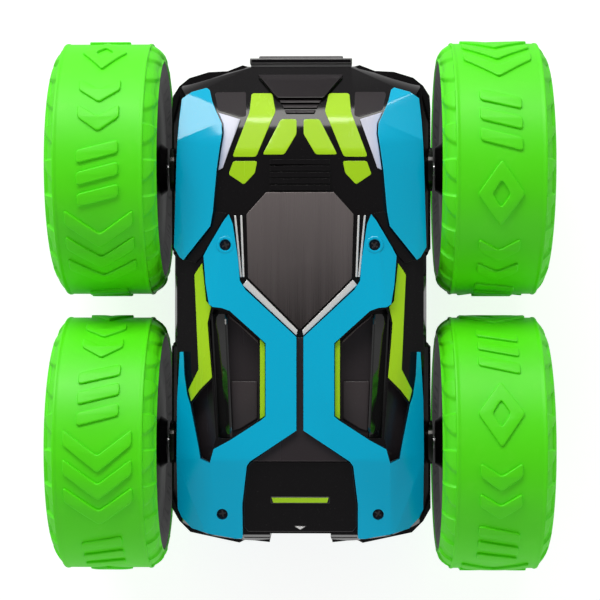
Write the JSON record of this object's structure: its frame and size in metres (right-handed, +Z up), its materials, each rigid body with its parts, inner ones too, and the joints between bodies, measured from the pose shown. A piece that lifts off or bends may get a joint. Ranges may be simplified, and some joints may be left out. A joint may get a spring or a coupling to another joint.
{
  "type": "rc stunt car",
  "caption": "Flip-over radio controlled stunt car, alike on both faces, with big hollow tyres geared together on each side.",
  "frame": {"origin": "on the ground under the car's centre, midway between the axles", "axes": "+Z up, +Y towards the front bumper, +X to the car's right"},
  "size_m": [0.1584, 0.17, 0.082],
  "materials": {
    "tyre_green": "soft moulded green rubber, satin",
    "rim_black": "glossy black",
    "black_gloss": "glossy black",
    "blue_gloss": "glossy blue",
    "windshield_grey": "dark grey, brushed look",
    "trim_silver": "silver paint",
    "lime": "glossy lime",
    "accent_white": "pearl white",
    "panel_grey": "glossy dark grey",
    "bumper_black": "satin black, paler along its rounded edges",
    "screw_steel": "blackened steel",
    "axle_steel": "ground steel",
    "motor_steel": "plated steel can",
    "bush_brass": "plain brass",
    "gear_plastic": "natural acetal",
    "housing_plastic": "moulded black",
    "battery_cells": "blue wrapped cells",
    "circuit_green": "solder mask",
    "wire_black": "insulated wire"
  },
  "bodies": {
    "chassis": {"mid_frame": "black_gloss", "upper_shell": "black_gloss", "lower_shell": "black_gloss", "front_bumper": "bumper_black", "upper_left_fender": "blue_gloss", "upper_right_fender": "blue_gloss", "lower_left_fender": "blue_gloss", "lower_right_fender": "blue_gloss", "upper_left_frame": "blue_gloss", "upper_right_frame": "blue_gloss", "lower_left_frame": "blue_gloss", "lower_right_frame": "blue_gloss", "upper_windshield": "windshield_grey", "lower_windshield": "windshield_grey", "windshield_trims": "trim_silver", "lime_strips": "lime", "white_accents": "accent_white", "dark_panels": "panel_grey", "body_screws": "screw_steel", "left_gearbox_tray": "housing_plastic", "right_gearbox_tray": "housing_plastic", "left_gearbox_cover": "housing_plastic", "right_gearbox_cover": "housing_plastic", "gear_pins": "axle_steel", "left_motor": "motor_steel", "right_motor": "motor_steel", "axle_bushes": "bush_brass", "battery_pack": "battery_cells", "circuit_board": "circuit_green", "antenna_wire": "wire_black"},
    "front_left_wheel": {"front_left_tyre": "tyre_green", "front_left_rim": "rim_black", "front_left_cap": "trim_silver", "front_left_axle": "axle_steel", "front_left_axle_gear": "gear_plastic"},
    "front_left_idler": {"front_left_idler": "gear_plastic"},
    "front_right_wheel": {"front_right_tyre": "tyre_green", "front_right_rim": "rim_black", "front_right_cap": "trim_silver", "front_right_axle": "axle_steel", "front_right_axle_gear": "gear_plastic"},
    "front_right_idler": {"front_right_idler": "gear_plastic"},
    "rear_left_wheel": {"rear_left_tyre": "tyre_green", "rear_left_rim": "rim_black", "rear_left_cap": "trim_silver", "rear_left_axle": "axle_steel", "rear_left_axle_gear": "gear_plastic"},
    "rear_left_idler": {"rear_left_idler": "gear_plastic"},
    "rear_right_wheel": {"rear_right_tyre": "tyre_green", "rear_right_rim": "rim_black", "rear_right_cap": "trim_silver", "rear_right_axle": "axle_steel", "rear_right_axle_gear": "gear_plastic"},
    "rear_right_idler": {"rear_right_idler": "gear_plastic"},
    "left_centre_gear": {"left_centre_gear": "gear_plastic"},
    "left_pinion": {"left_pinion": "bush_brass"},
    "right_centre_gear": {"right_centre_gear": "gear_plastic"},
    "right_pinion": {"right_pinion": "bush_brass"},
    "battery_hatch": {"battery_hatch": "black_gloss"},
    "power_switch": {"power_switch": "trim_silver"}
  },
  "joints": [
    {"name": "front_left_wheel_spin", "type": "hinge", "parent": "chassis", "child": "front_left_wheel", "pos_m": [-0.0315, 0.044, 0.041], "axis": [1, 0, 0], "continuous": true},
    {"name": "rear_left_wheel_spin", "type": "hinge", "parent": "chassis", "child": "rear_left_wheel", "pos_m": [-0.0315, -0.044, 0.041], "axis": [1, 0, 0], "continuous": true},
    {"name": "front_left_idler_spin", "type": "hinge", "parent": "chassis", "child": "front_left_idler", "pos_m": [-0.0315, 0.022, 0.041], "axis": [1, 0, 0], "continuous": true},
    {"name": "rear_left_idler_spin", "type": "hinge", "parent": "chassis", "child": "rear_left_idler", "pos_m": [-0.0315, -0.022, 0.041], "axis": [1, 0, 0], "continuous": true},
    {"name": "left_centre_gear_spin", "type": "hinge", "parent": "chassis", "child": "left_centre_gear", "pos_m": [-0.0315, 0, 0.041], "axis": [1, 0, 0], "continuous": true},
    {"name": "left_pinion_spin", "type": "hinge", "parent": "chassis", "child": "left_pinion", "pos_m": [-0.0315, -0.015, 0.041], "axis": [1, 0, 0], "continuous": true},
    {"name": "front_right_wheel_spin", "type": "hinge", "parent": "chassis", "child": "front_right_wheel", "pos_m": [0.0315, 0.044, 0.041], "axis": [1, 0, 0], "continuous": true},
    {"name": "rear_right_wheel_spin", "type": "hinge", "parent": "chassis", "child": "rear_right_wheel", "pos_m": [0.0315, -0.044, 0.041], "axis": [1, 0, 0], "continuous": true},
    {"name": "front_right_idler_spin", "type": "hinge", "parent": "chassis", "child": "front_right_idler", "pos_m": [0.0315, 0.022, 0.041], "axis": [1, 0, 0], "continuous": true},
    {"name": "rear_right_idler_spin", "type": "hinge", "parent": "chassis", "child": "rear_right_idler", "pos_m": [0.0315, -0.022, 0.041], "axis": [1, 0, 0], "continuous": true},
    {"name": "right_centre_gear_spin", "type": "hinge", "parent": "chassis", "child": "right_centre_gear", "pos_m": [0.0315, 0, 0.041], "axis": [1, 0, 0], "continuous": true},
    {"name": "right_pinion_spin", "type": "hinge", "parent": "chassis", "child": "right_pinion", "pos_m": [0.0315, -0.015, 0.041], "axis": [1, 0, 0], "continuous": true},
    {"name": "battery_hatch_slide", "type": "slide", "parent": "chassis", "child": "battery_hatch", "axis": [0, -0.9701, -0.2425], "range_m": [0, 0.005]},
    {"name": "power_switch_slide", "type": "slide", "parent": "chassis", "child": "power_switch", "axis": [1, 0, 0], "range_m": [0, 0.003]}
  ],
  "couplings": [
    {"joint": "rear_left_wheel_spin", "follows": "front_left_wheel_spin", "ratio": 1},
    {"joint": "front_left_idler_spin", "follows": "front_left_wheel_spin", "ratio": -1},
    {"joint": "rear_left_idler_spin", "follows": "front_left_wheel_spin", "ratio": -1},
    {"joint": "left_centre_gear_spin", "follows": "front_left_wheel_spin", "ratio": 1},
    {"joint": "left_pinion_spin", "follows": "front_left_wheel_spin", "ratio": -4},
    {"joint": "rear_right_wheel_spin", "follows": "front_right_wheel_spin", "ratio": 1},
    {"joint": "front_right_idler_spin", "follows": "front_right_wheel_spin", "ratio": -1},
    {"joint": "rear_right_idler_spin", "follows": "front_right_wheel_spin", "ratio": -1},
    {"joint": "right_centre_gear_spin", "follows": "front_right_wheel_spin", "ratio": 1},
    {"joint": "right_pinion_spin", "follows": "front_right_wheel_spin", "ratio": -4}
  ]
}
